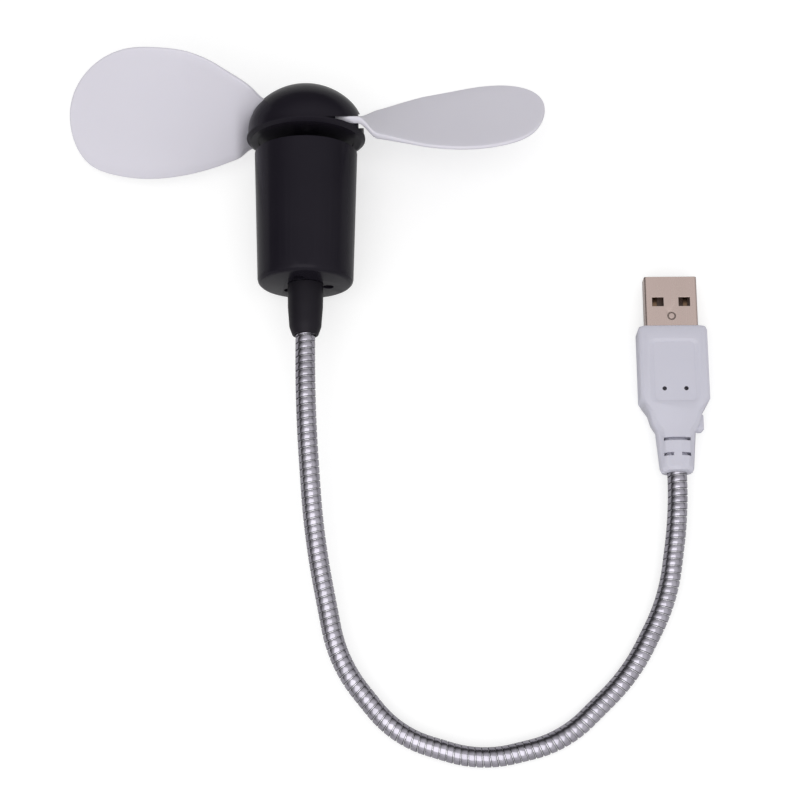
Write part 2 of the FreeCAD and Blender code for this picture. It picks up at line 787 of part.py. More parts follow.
def dome_hollow():
    """The room inside the dome, kept to plain turned faces."""
    inner = dome_radius - hub_wall
    shoulder = rim_height + dome_upright
    top = rim_height + dome_height - hub_wall
    return revolve([(0, rim_height - hub_wall), (inner, rim_height - hub_wall), (inner, shoulder),
                    (hollow_waist_radius, hollow_waist_height), (hollow_top_radius, top), (0, top)])


def slot_band(low, high, x0, x1):
    """The part of the right half between two lifts above the middle of the blade's slot."""
    along = Vector(0, math.cos(slot_slope), math.sin(slot_slope))
    square = Vector(0, -math.sin(slot_slope), math.cos(slot_slope))
    foot = Vector(x0, slot_low_offset, slot_low_height)
    reach = along * (2 * rim_radius)
    corners = [foot + square * low - reach, foot + square * low + reach,
               foot + square * high + reach, foot + square * high - reach]
    face = Part.Face(Part.makePolygon(corners + [corners[0]]))
    return face.extrude(Vector(x1 - x0, 0, 0))


def ramp_side(lift, x0):
    """Everything under a lift above the slot's middle, out to the step in the parting line."""
    slope = math.tan(slot_slope)
    rise = lift / math.cos(slot_slope)
    low_y = slot_low_offset + (rim_height - slot_low_height - rise) / slope
    high_z = slot_high_height + rise
    corners = [Vector(x0, low_y, rim_height), Vector(x0, slot_high_offset, rim_height),
               Vector(x0, slot_high_offset, high_z)]
    face = Part.Face(Part.makePolygon(corners + [corners[0]]))
    return face.extrude(Vector(2 * rim_radius - x0, 0, 0))


def make_hub_base():
    """The rim, the web and the boss, with a ramp under each blade."""
    collar = dome_radius - hub_wall - hub_seam
    base = revolve([(collar - collar_wall, 0), (rim_radius - rim_bevel_width, 0),
                    (rim_radius, rim_bevel_height), (rim_radius, rim_height),
                    (collar - collar_wall, rim_height)])
    base = base.fuse(ring(collar, collar - collar_wall, 0, collar_height))
    base = base.fuse(cylinder(collar, web_height, web_height + web_thickness))
    across = box(blade_root_radius - hub_seam, rim_radius, slot_low_offset - hub_wall,
                 slot_high_offset, rim_height, 2 * dome_height)
    wall = dome_solid().cut(dome_hollow())
    plate = slot_band(-half_root - hub_wall, -half_root, boss_radius / 2, rim_radius)
    ramp = ramp_side(-half_root, 0).common(wall.fuse(plate.common(dome_solid())))
    mouth = slot_band(-half_root - slot_mouth_drop, rim_radius, blade_flat_radius, 2 * rim_radius)
    for angle in (0, 180):
        base = base.cut(turned(across.cut(ramp_side(-half_root, 0)), angle))
    for angle in (0, 180):
        base = base.fuse(turned(ramp, angle)).cut(turned(mouth, angle))
    base = base.fuse(cylinder(boss_radius, -boss_drop, boss_top))
    base = base.cut(cylinder(shaft_radius, -boss_drop, shaft_in_boss))
    return base.removeSplitter()


def make_hub_cap():
    """The dome, with a plate over each blade's tab and an opening for each ramp."""
    cap = dome_solid().cut(dome_hollow())
    clamp = slot_band(half_root, half_root + hub_wall, boss_radius + hub_seam, rim_radius)
    reach = box(0, rim_radius, slot_low_offset, slot_high_offset, 0, 2 * dome_height)
    clamp = clamp.common(dome_solid()).common(reach)
    opening = ramp_side(half_root, 0)
    mouth = ramp_side(half_root + slot_mouth_gap, blade_flat_radius)
    for angle in (0, 180):
        cap = cap.fuse(turned(clamp, angle))
    for angle in (0, 180):
        cap = cap.cut(turned(opening, angle)).cut(turned(mouth, angle))
    cap = cap.cut(cylinder(boss_radius + hub_seam, 0, boss_top + hub_seam))
    return cap.removeSplitter()


def eased(share):
    share = min(1.0, max(0.0, share))
    return share * share * (3 - 2 * share)


def blade_section(radius):
    """Pitch in degrees, lift and thickness of a blade at a distance from the axis."""
    outer = max(0.0, radius - blade_bend_radius)
    settled = eased((radius - blade_flat_radius) / (blade_free_radius - blade_flat_radius))
    slot_pitch = math.degrees(slot_slope)
    pitch = slot_pitch + (blade_free_pitch - slot_pitch) * settled
    span = (min(radius, blade_bend_radius) - blade_free_radius) / (blade_bend_radius - blade_free_radius)
    pitch += (blade_bend_pitch - blade_free_pitch) * max(0.0, span) + blade_twist * outer
    lift = slot_lift + (blade_free_lift - slot_lift) * settled
    lift += blade_bend_lift * (outer / blade_bend_radius) ** 2
    thinned = eased((radius - blade_flat_radius) / (blade_bend_radius - blade_flat_radius))
    thickness = blade_root_thickness + (blade_thickness - blade_root_thickness) * thinned
    return pitch, lift, thickness


def sheet_outline(radius):
    """A blade's section, run past both its edges."""
    pitch, lift, thickness = blade_section(radius)
    angle = math.radians(pitch)
    along = Vector(0, math.cos(angle), math.sin(angle)) * blade_reach
    square = Vector(0, -math.sin(angle), math.cos(angle))
    middle = Vector(radius, 0, blade_axis_height) + square * lift
    half = square * (thickness / 2)
    corners = [middle - along - half, middle + along - half, middle + along + half, middle - along + half]
    return Part.makePolygon(corners + [corners[0]])


def make_blade(angle):
    """A moulded blade: a twisted sheet with a flat tab at its root, cut to its outline."""
    free_length = blade_radius + blade_overrun - blade_flat_radius
    places = [blade_flat_radius + free_length * (step / blade_station_count) ** blade_station_spread
              for step in range(blade_station_count + 1)]
    sheet = Part.makeLoft([sheet_outline(place) for place in places], True)
    tab_start = Part.Face(sheet_outline(blade_root_radius - overrun))
    tab = tab_start.extrude(Vector(blade_flat_radius - blade_root_radius + overrun, 0, 0))
    cut = math.radians(blade_cut_pitch)
    along = Vector(0, math.cos(cut), math.sin(cut))
    square = Vector(0, -math.sin(cut), math.cos(cut))
    origin = Vector(0, 0, blade_axis_height) - square * blade_reach
    edge = blade_low_edge + [(blade_radius, blade_tip_place)] + blade_high_edge
    points = [origin + Vector(r, 0, 0) + along * s for r, s in edge]
    curve = Part.BSplineCurve()
    curve.interpolate(points)
    root = Part.LineSegment(points[-1], points[0]).toShape()
    outline = Part.Face(Part.Wire([curve.toShape(), root]))
    blade = sheet.fuse(tab).common(outline.extrude(square * 2 * blade_reach))
    return turned(blade.removeSplitter(), angle)


def make_rotor_pieces():
    pieces = {"hub_base": make_hub_base(), "hub_cap": make_hub_cap(),
              "blade_right": make_blade(0), "blade_left": make_blade(180)}
    for piece in pieces.values():
        piece.translate(Vector(0, 0, rim_base))
    return pieces


def main():
    os.makedirs("parts", exist_ok=True)
    export(make_usb_shell(), "usb_shell")
    export(make_usb_tongue(), "usb_tongue")
    export(make_usb_contacts(), "usb_contacts")
    export(make_plug_overmold(), "plug_overmold")
    for number in range(len(bending_run_numbers) + 1):
        export(make_neck_tube(number), f"neck_tube_{number + 1}")
        export(make_supply_leads(number), f"supply_leads_{number + 1}")
    for number in range(len(bending_run_numbers)):
        export(make_neck_turns(number), f"neck_turns_{number + 1}")
    head = {
        "motor_housing": make_motor_housing(), "front_cover": make_front_cover(),
        "neck_sleeve": make_neck_sleeve(), "neck_clip": make_neck_clip(),
        "motor_can": make_motor_can(), "motor_magnets": make_magnets(),
        "motor_end_cap": make_end_cap(), "motor_brushes": make_brushes(),
        "motor_terminals": make_terminals(), "terminal_leads": make_head_leads(),
        "front_bush": make_bush(can_top - can_face - front_bush_depth),
        "rear_bush": make_bush(end_cap_bottom),
        "motor_shaft": make_shaft(), "armature_core": make_core(),
        "armature_windings": make_windings(), "commutator": make_commutator(),
    }
    head.update(make_rotor_pieces())
    for name, shape in head.items():
        export_head(shape, name)


main()
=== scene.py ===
import math
import bmesh
import bpy
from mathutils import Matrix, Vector


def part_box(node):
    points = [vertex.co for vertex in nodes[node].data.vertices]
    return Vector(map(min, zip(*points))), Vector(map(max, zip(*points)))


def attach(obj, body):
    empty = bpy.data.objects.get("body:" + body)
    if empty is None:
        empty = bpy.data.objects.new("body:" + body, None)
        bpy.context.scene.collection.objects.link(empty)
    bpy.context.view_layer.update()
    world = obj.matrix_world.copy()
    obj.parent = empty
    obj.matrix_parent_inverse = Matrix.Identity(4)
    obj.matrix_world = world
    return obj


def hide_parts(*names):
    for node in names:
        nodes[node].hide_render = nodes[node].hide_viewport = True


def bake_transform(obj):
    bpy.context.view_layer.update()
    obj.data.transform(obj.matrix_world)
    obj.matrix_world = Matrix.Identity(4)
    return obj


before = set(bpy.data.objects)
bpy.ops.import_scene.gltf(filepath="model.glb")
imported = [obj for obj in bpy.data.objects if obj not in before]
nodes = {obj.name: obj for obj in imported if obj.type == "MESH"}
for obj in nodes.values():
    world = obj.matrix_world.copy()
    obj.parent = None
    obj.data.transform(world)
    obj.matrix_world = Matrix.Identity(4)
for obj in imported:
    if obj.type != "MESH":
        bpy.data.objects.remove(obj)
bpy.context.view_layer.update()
mm = 0.001
weldReach = 0.002 * mm               # points closer than this are one
flatAngle = math.radians(0.4)        # faces that turn less than this are one
edgeCrease = math.radians(28)        # edges of moulded and folded pieces
curvedCrease = math.radians(50)      # edges of the winding and the blades


# a Wire is one socket of a node tree, and sums on it add Math nodes
class Wire:
    def __init__(self, graph, socket):
        self.graph = graph
        self.socket = socket

    def sums(self, operation, *values):
        return self.graph.add("ShaderNodeMath", {"operation": operation}, dict(enumerate(values)))

    def __add__(self, other): return self.sums("ADD", self, other)
    def __radd__(self, other): return self.sums("ADD", other, self)
    def __sub__(self, other): return self.sums("SUBTRACT", self, other)
    def __rsub__(self, other): return self.sums("SUBTRACT", other, self)
    def __mul__(self, other): return self.sums("MULTIPLY", self, other)
    def __rmul__(self, other): return self.sums("MULTIPLY", other, self)
    def __truediv__(self, other): return self.sums("DIVIDE", self, other)
    def __pow__(self, other): return self.sums("POWER", self, other)

    def atLeast(self, low):
        return self.sums("MAXIMUM", self, low)

    def held(self, low, high):
        return self.sums("MINIMUM", self.atLeast(low), high)

    def eased(self):
        share = self.held(0.0, 1.0)
        return share * share * (3.0 - share * 2.0)


class Graph:
    def __init__(self, tree):
        self.tree = tree

    def add(self, kind, settings=None, values=None, output=0):
        node = self.tree.nodes.new(kind)
        for key, value in (settings or {}).items():
            if key == "stops":
                ramp = node.color_ramp
                for place, stop in enumerate(value):
                    element = ramp.elements[place] if place < 2 else ramp.elements.new(stop[0])
                    element.position = stop[0]
                    element.color = (stop[1], stop[1], stop[1], 1)
            else:
                setattr(node, key, value)
        for key, value in (values or {}).items():
            if isinstance(value, Wire):
                self.tree.links.new(value.socket, node.inputs[key])
            else:
                node.inputs[key].default_value = value
        outputs = [socket for socket in node.outputs if socket.enabled]
        socket = outputs[output] if isinstance(output, int) else node.outputs[output]
        return Wire(self, socket)


def opaque(color):
    return (color[0], color[1], color[2], 1)


# what a finish has unless it says otherwise, and the noise that all of them share
plainFinish = {"stretch": (1, 1, 1), "roughChange": 0.1, "roughGrain": 0.08, "bump": 0.1,
               "bumpDepth": 0.05 * mm, "constants": {}}
noise = {"patchDetail": 3.0, "patchStops": [(0.3, 0.0), (0.7, 1.0)], "grainDetail": 4.0,
         "grainRoughness": 0.6}


def makeMaterial(name, ownFinish):
    # colour varies softly, dust and handling marks change roughness, and a fine bump breaks the gloss
    finish = dict(plainFinish, **ownFinish)
    material = bpy.data.materials.new(name)
    material.use_nodes = True
    tree = material.node_tree
    tree.nodes.clear()
    graph = Graph(tree)
    place = graph.add("ShaderNodeTexCoord", output="Object")
    stretched = graph.add("ShaderNodeMapping", values={"Vector": place, "Scale": finish["stretch"]})
    patches = graph.add("ShaderNodeTexNoise", {"noise_dimensions": "3D"},
                        {"Vector": stretched, "Scale": finish["patchScale"], "Detail": noise["patchDetail"]})
    grain = graph.add("ShaderNodeTexNoise", {"noise_dimensions": "3D"},
                      {"Vector": stretched, "Scale": finish["grainScale"], "Detail": noise["grainDetail"],
                       "Roughness": noise["grainRoughness"]})
    shade = graph.add("ShaderNodeValToRGB", {"stops": noise["patchStops"]}, {0: patches})
    mixed = tree.nodes.new("ShaderNodeMix")
    mixed.data_type = "RGBA"
    tree.links.new(shade.socket, mixed.inputs[0])
    mixed.inputs[6].default_value = opaque(finish["color"])
    mixed.inputs[7].default_value = opaque(finish["otherColor"])
    color = Wire(graph, mixed.outputs[2])
    rough = finish["roughness"] + (patches - 0.5) * finish["roughChange"] \
        + (grain - 0.5) * finish["roughGrain"]
    bump = graph.add("ShaderNodeBump", values={"Height": grain, "Strength": finish["bump"],
                                               "Distance": finish["bumpDepth"]})
    # painted shade: a finish with stops across has its colour darkened towards both edges of each flat wire,
    # in the gaps between the turns
    if "across" in finish:
        across = graph.add("ShaderNodeAttribute", {"attribute_name": "across"}, output="Fac")
        gapShade = graph.add("ShaderNodeValToRGB", {"stops": finish["across"]}, {0: across})
        darker = tree.nodes.new("ShaderNodeMix")
        darker.data_type = "RGBA"
        darker.blend_type = "MULTIPLY"
        darker.inputs[0].default_value = 1
        tree.links.new(color.socket, darker.inputs[6])
        tree.links.new(gapShade.socket, darker.inputs[7])
        color = Wire(graph, darker.outputs[2])
    shader = tree.nodes.new("ShaderNodeBsdfPrincipled")
    for key, value in finish["constants"].items():
        shader.inputs[key].default_value = value
    tree.links.new(color.socket, shader.inputs["Base Color"])
    tree.links.new(rough.socket, shader.inputs["Roughness"])
    tree.links.new(bump.socket, shader.inputs["Normal"])
    end = tree.nodes.new("ShaderNodeOutputMaterial")
    tree.links.new(shader.outputs[0], end.inputs[0])
    return material


finishes = {
    "blackPlastic": {"color": (0.0100, 0.0086, 0.0132), "otherColor": (0.0125, 0.0108, 0.0158),
                     "patchScale": 60, "grainScale": 2600, "roughness": 0.22, "roughChange": 0.08,
                     "bump": 0.08,
                     "constants": {"Specular IOR Level": 0.105, "Specular Tint": (0.96, 0.92, 1.0, 1.0)}},
    "satinRubber": {"color": (0.0110, 0.0098, 0.0135), "otherColor": (0.0145, 0.0130, 0.0170),
                    "patchScale": 90, "grainScale": 3500, "roughness": 0.38, "roughChange": 0.12,
                    "bump": 0.15,
                    "constants": {"Specular IOR Level": 0.105, "Specular Tint": (0.96, 0.92, 1.0, 1.0)}},
    "whiteVinyl": {"color": (0.58, 0.572, 0.652), "otherColor": (0.555, 0.547, 0.625), "patchScale": 70,
                   "grainScale": 3000, "roughness": 0.38, "roughChange": 0.08, "bump": 0.12,
                   "constants": {"Subsurface Weight": 0.15, "Subsurface Radius": (0.002, 0.0018, 0.0016),
                                 "Subsurface Scale": 0.5}},
    "whiteBlade": {"color": (0.72, 0.70, 0.77), "otherColor": (0.69, 0.67, 0.74), "patchScale": 25,
                   "grainScale": 2200, "roughness": 0.42, "roughChange": 0.08, "bump": 0.12,
                   "constants": {"Subsurface Weight": 0.2, "Subsurface Radius": (0.002, 0.002, 0.0018),
                                 "Subsurface Scale": 0.5}},
    "nickelSheet": {"color": (0.55, 0.44, 0.407), "otherColor": (0.50, 0.398, 0.365), "patchScale": 110,
                    "grainScale": 1500, "stretch": (1, 0.08, 1), "roughness": 0.27, "roughChange": 0.06,
                    "roughGrain": 0.04, "bump": 0.05, "constants": {"Metallic": 1.0}},
    "steelWire": {"color": (0.435, 0.416, 0.472), "otherColor": (0.34, 0.325, 0.37), "patchScale": 300,
                  "grainScale": 2500, "roughness": 0.20, "roughChange": 0.10, "bump": 0.08,
                  # the stops across darken both edges of the flat wire: painted shade in the gaps between
                  # turns
                  "across": [(0.0, 0.02), (0.13, 1.0), (0.87, 1.0), (1.0, 0.02)],
                  "constants": {"Metallic": 1.0}},
    "roundWire": {"color": (0.72, 0.71, 0.74), "otherColor": (0.55, 0.54, 0.58), "patchScale": 300,
                  "grainScale": 2500, "roughness": 0.2, "roughChange": 0.1, "bump": 0.08,
                  "constants": {"Metallic": 1.0}},
    # gold darkened with painted shade, for contacts that lie deep in the shade inside the plug's shell
    "goldContactPaintedShade": {"color": (0.20, 0.13, 0.085), "otherColor": (0.16, 0.10, 0.065), "patchScale": 400,
                    "grainScale": 2500, "roughness": 0.3, "constants": {"Metallic": 1.0}},
    "insulator": {"color": (0.115, 0.070, 0.055), "otherColor": (0.085, 0.052, 0.042), "patchScale": 150,
                  "grainScale": 2500, "roughness": 0.45},
    # painted shade for the walls and floor of the ring groove on the shell
    "ringGroovePaintedShade": {"color": (0.21, 0.16, 0.14), "otherColor": (0.16, 0.12, 0.105), "patchScale": 400,
                      "grainScale": 3000, "roughness": 0.6, "bump": 0.3},
    # painted shade for the walls and floor of the grip's moulding holes
    "moulderHolePaintedShade": {"color": (0.14, 0.13, 0.16), "otherColor": (0.10, 0.095, 0.12), "patchScale": 400,
                    "grainScale": 3000, "roughness": 0.6, "bump": 0.2},
    "motorSteel": {"color": (0.55, 0.54, 0.53), "otherColor": (0.48, 0.47, 0.46), "patchScale": 90,
                   "grainScale": 2000, "roughness": 0.3, "constants": {"Metallic": 1.0}},
    "magnetBlack": {"color": (0.03, 0.03, 0.03), "otherColor": (0.045, 0.04, 0.04), "patchScale": 200,
                    "grainScale": 2500, "roughness": 0.6},
    "bronze": {"color": (0.50, 0.34, 0.18), "otherColor": (0.42, 0.28, 0.15), "patchScale": 300,
               "grainScale": 3000, "roughness": 0.45, "constants": {"Metallic": 1.0}},
    "copper": {"color": (0.75, 0.36, 0.2), "otherColor": (0.62, 0.28, 0.15), "patchScale": 300,
               "grainScale": 2500, "roughness": 0.3, "constants": {"Metallic": 1.0}},
    "nylon": {"color": (0.55, 0.54, 0.50), "otherColor": (0.50, 0.49, 0.45), "patchScale": 150,
              "grainScale": 2500, "roughness": 0.5},
    "leadSkin": {"color": (0.35, 0.02, 0.02), "otherColor": (0.28, 0.015, 0.015), "patchScale": 150,
                 "grainScale": 2500, "roughness": 0.45},
}
materials = {name: makeMaterial(name, finish) for name, finish in finishes.items()}
print("materials made:", len(materials))


# pieces taken from the CAD solids, with their edges eased
def mergedCopy(node):
    bm = bmesh.new()
    bm.from_mesh(nodes[node].data)
    bmesh.ops.remove_doubles(bm, verts=bm.verts, dist=weldReach)
    bmesh.ops.dissolve_limit(bm, angle_limit=flatAngle, verts=bm.verts, edges=bm.edges)
    mesh = bpy.data.meshes.new(node)
    bm.to_mesh(mesh)
    bm.free()
    return mesh


def addObject(name, data):
    added = bpy.data.objects.new(name, data)
    bpy.context.scene.collection.objects.link(added)
    return added


def easedPiece(name, node, material, body, width):
    mesh = mergedCopy(node)
    mesh.shade_smooth()
    mesh.set_sharp_from_angle(angle=edgeCrease)
    mesh.materials.clear()
    mesh.materials.append(material)
    piece = addObject(name, mesh)
    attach(piece, body)
    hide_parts(node)
    edge = piece.modifiers.new("edges", "BEVEL")
    edge.width = width
    edge.segments = 2
    edge.limit_method = "ANGLE"
    edge.angle_limit = edgeCrease
    edge.harden_normals = True
    return piece


def cutWith(piece, loops, closed):
    # takes away the form whose skin runs through the loops of points
    bm = bmesh.new()
    rows = [[bm.verts.new(point) for point in loop] for loop in loops]
    for low, high in zip(rows, rows[1:] + rows[:1] if closed else rows[1:]):
        for k in range(len(low)):
            bm.faces.new((low[k - 1], low[k], high[k], high[k - 1]))
    if not closed:
        bm.faces.new(rows[0])
        bm.faces.new(rows[-1])
    bmesh.ops.recalc_face_normals(bm, faces=bm.faces)
    mesh = bpy.data.meshes.new("cutter")
    bm.to_mesh(mesh)
    bm.free()
    cutter = addObject("cutter", mesh)
    blank = addObject("blank", piece.data)
    cut = blank.modifiers.new("cut", "BOOLEAN")
    cut.operation = "DIFFERENCE"
    cut.solver = "EXACT"
    cut.object = cutter
    bpy.context.view_layer.update()
    shown = blank.evaluated_get(bpy.context.evaluated_depsgraph_get())
    piece.data = bpy.data.meshes.new_from_object(shown)
    piece.data.set_sharp_from_angle(angle=edgeCrease)
    for helper in (blank, cutter):
        bpy.data.objects.remove(helper)


def ringLoop(center, radius, height, sides=48):
    turns = [2 * math.pi * k / sides for k in range(sides)]
    return [(center[0] + radius * math.cos(turn), center[1] + radius * math.sin(turn), center[2] + height)
            for turn in turns]


def frameLoop(center, half, corner, height, steps=6):
    # a rectangle with rounded corners
    loop = []
    for quarter, (x, y) in enumerate(((1, 1), (-1, 1), (-1, -1), (1, -1))):
        for step in range(steps + 1):
            turn = (quarter + step / steps) * math.pi / 2
            loop.append((center[0] + x * (half[0] - corner) + corner * math.cos(turn),
                         center[1] + y * (half[1] - corner) + corner * math.sin(turn), center[2] + height))
    return loop


def keepCrease(mesh, heights, reach):
    # a shallow slope keeps its crisp outlines at these heights, within reach of the part's middle
    bm = bmesh.new()
    bm.from_mesh(mesh)
    for edge in bm.edges:
        if all(abs(end.co.x) < reach and min(abs(end.co.z - height) for height in heights) < weldReach
               for end in edge.verts):
            edge.smooth = False
    bm.to_mesh(mesh)
    bm.free()


def shadeRecess(mesh, material, spots, reach, below):
    # the walls and the floor of a small recess take a darker finish: painted shade, where the recess lies in
    # shade
    mesh.materials.append(material)
    for face in mesh.polygons:
        place = Vector(face.center[:2])
        if face.center[2] < below and any((place - Vector(spot)).length < reach for spot in spots):
            face.material_index = 1


# node, finish, body and how far the edges are eased
easedPieces = {
    "usbShell": ("usb_shell", "nickelSheet", "plug", 0.06 * mm),
    "plugGrip": ("plug_overmold", "whiteVinyl", "plug", 0.22 * mm),
    "plugTongue": ("usb_tongue", "insulator", "plug", 0.05 * mm),
    "motorHousing": ("motor_housing", "blackPlastic", "head", 0.12 * mm),
    "housingCover": ("front_cover", "blackPlastic", "head", 0.1 * mm),
    "neckSleeve": ("neck_sleeve", "satinRubber", "head", 0.2 * mm),
    "hubBase": ("hub_base", "blackPlastic", "rotor", 0.15 * mm),
    "hubCap": ("hub_cap", "blackPlastic", "rotor", 0.15 * mm),
}
dressed = {name: easedPiece(name, node, materials[material], body, width)
           for name, (node, material, body, width) in easedPieces.items()}

recess = {"ringFromTip": 9.4 * mm, "ringReach": 1.05 * mm, "ringWide": 0.97 * mm, "ringNarrow": 0.65 * mm,
          "ringDepth": 0.13 * mm, "holeFromFront": 15.1 * mm, "holeSide": 2.45 * mm, "holeReach": 0.56 * mm,
          "skin": 0.02 * mm}
panel = {"fromFront": 11.0 * mm, "depth": 0.3 * mm, "half": (4.62 * mm, 6.92 * mm), "corner": 1.0 * mm,
         "slopeDepth": 0.27 * mm, "slopeReach": (1.05 * mm, 0.7 * mm), "slopeRunOn": 1.5, "cornerGrowth": 0.7}
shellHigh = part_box("usb_shell")[1]
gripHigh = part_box("plug_overmold")[1]

# the punched mark is a closed ring groove
mark = (0, shellHigh[1] - recess["ringFromTip"], shellHigh[2])
ringLoops = [ringLoop(mark, recess[radius], side * recess["ringDepth"])
             for radius, side in (("ringWide", -1), ("ringWide", 1), ("ringNarrow", 1), ("ringNarrow", -1))]
cutWith(dressed["usbShell"], ringLoops, True)

# the panel's edge slopes up to the grip's broad face, and the slope runs on a little above it
middle = (0, gripHigh[1] - panel["fromFront"], gripHigh[2])
slopeLoops = []
for share in (0.0, panel["slopeRunOn"]):
    half = [size + share * reach for size, reach in zip(panel["half"], panel["slopeReach"])]
    corner = panel["corner"] * (1 + share * panel["cornerGrowth"])
    slopeLoops.append(frameLoop(middle, half, corner, (share - 1) * panel["slopeDepth"]))
cutWith(dressed["plugGrip"], slopeLoops, False)
keepCrease(dressed["plugGrip"].data, (gripHigh[2], gripHigh[2] - panel["slopeDepth"]),
           panel["half"][0] + panel["slopeRunOn"] * panel["slopeReach"][0])

# the ring groove's walls and floor take painted shade
shadeRecess(dressed["usbShell"].data, materials["ringGroovePaintedShade"], [mark[:2]],
            recess["ringReach"], shellHigh[2] - recess["skin"])
# the two moulding holes' walls and floor take painted shade
shadeRecess(dressed["plugGrip"].data, materials["moulderHolePaintedShade"],
            [(side * recess["holeSide"], gripHigh[1] - recess["holeFromFront"]) for side in (-1, 1)],
            recess["holeReach"], gripHigh[2] - panel["depth"] - recess["skin"])

plainNodes = {
    "usb_contacts": "goldContactPaintedShade", "neck_clip": "motorSteel", "motor_can": "motorSteel",
    "motor_magnets": "magnetBlack", "motor_end_cap": "nylon", "motor_brushes": "copper",
    "motor_terminals": "copper", "terminal_leads": "leadSkin", "front_bush": "bronze",
    "rear_bush": "bronze", "motor_shaft": "motorSteel", "armature_core": "motorSteel",
    "armature_windings": "copper", "commutator": "copper",
}
for node, material in plainNodes.items():
    mesh = nodes[node].data
    mesh.materials.clear()
    mesh.materials.append(materials[material])
print("pieces from the solids:", len(easedPieces))

# gooseneck: two wires wound round one route, with the leads inside. The route goes straight from corner to
# corner, in mm, and a tangent arc rounds each. A bending place lies in the middle of each bending run, and
# the winding is split halfway between bending places; bendReach, in mm, gives a reach to each side of a
# place, which the script does not use.
neckRoute = {
    "corners": [(0.0, -13.0, 4.0), (0.0, -34.2, 4.0), (-3.0, -53.7, 2.7), (-11.8, -70.3, 2.45),
                (-27.0, -84.9, 2.4), (-45.0, -89.1, 2.45), (-63.4, -83.5, 3.0), (-76.1, -67.8, 5.2),
                (-81.3, -40.6, 9.2), (-83.2, -11.2, 13.6), (-83.2, 20.3, 13.6)],
    "arcShare": 0.39,
    "bendingRuns": [1, 3, 5, 6, 7, 8],
    "bendReach": [14.0, 14.0, 9.0, 9.0, 11.0, 14.0],
    "bodies": ["plug", "neck_length_2", "neck_length_3", "neck_length_4", "neck_length_5", "neck_length_6",
               "head"],
}
winding = {
    "Pitch": 1.58 * mm, "Steps": 22, "Flat Radius": 1.865 * mm, "Flat Width": 1.50 * mm,
    "Flat Foot": 0.42 * mm, "Flat Depth": 0.76 * mm, "Flat Crown": 0.045 * mm, "Flat Corner": 0.076 * mm,
    "Round Radius": 1.62 * mm, "Round Wire": 0.38 * mm, "Lead Offset": 0.62 * mm, "Lead Wire": 0.5 * mm,
}
# how finely the wires are drawn: steps in an arc of the route and in a flat wire's corner, sides of
# the round wire and of a lead, and how much longer a lead's steps are
fineness = {"arcSteps": 24, "cornerSteps": 3, "wireSides": 9, "leadSides": 10, "leadStretch": 12}


def routeFacts():
    corners = [Vector(point) * mm for point in neckRoute["corners"]]
    runs = [(b - a) for a, b in zip(corners, corners[1:])]
    trims = [0.0]
    radii = [0.0]
    arcs = [0.0]
    for index in range(1, len(corners) - 1):
        trim = neckRoute["arcShare"] * min(runs[index - 1].length, runs[index].length)
        turn = runs[index - 1].angle(runs[index])
        trims.append(trim)
        radii.append(trim / math.tan(turn / 2))
        arcs.append(radii[-1] * turn)
    trims.append(0.0)
    radii.append(0.0)
    arcs.append(0.0)
    starts = [0.0]           # length along the route where each run's straight part starts
    for index in range(len(runs)):
        straight = runs[index].length - trims[index] - trims[index + 1]
        starts.append(starts[-1] + straight + arcs[index + 1])
    places = []              # the bending places: length, point and direction
    for run in neckRoute["bendingRuns"]:
        straight = runs[run].length - trims[run] - trims[run + 1]
        way = runs[run].normalized()
        point = corners[run] + way * (trims[run] + straight / 2)
        places.append((starts[run] + straight / 2, point, way))
    return corners, radii, places, starts[-1]


def routeCurve(corners, radii):
    mesh = bpy.data.meshes.new("route")
    mesh.from_pydata([tuple(point) for point in corners], [(k, k + 1) for k in range(len(corners) - 1)], [])
    turn = mesh.attributes.new("turnRadius", "FLOAT", "POINT")
    turn.data.foreach_set("value", radii)
    return mesh


def newTree(name, numbers, materialNames):
    # an empty tree with named inputs, and the function that reads them
    tree = bpy.data.node_groups.new(name, "GeometryNodeTree")
    graph = Graph(tree)
    tree.interface.new_socket("Geometry", in_out="INPUT", socket_type="NodeSocketGeometry")
    for label in numbers:
        tree.interface.new_socket(label, in_out="INPUT", socket_type="NodeSocketFloat")
    for label in materialNames:
        tree.interface.new_socket(label, in_out="INPUT", socket_type="NodeSocketMaterial")
    tree.interface.new_socket("Geometry", in_out="OUTPUT", socket_type="NodeSocketGeometry")
    enter = tree.nodes.new("NodeGroupInput")

    def given(label):
        return Wire(graph, enter.outputs[label])

    return tree, graph, given


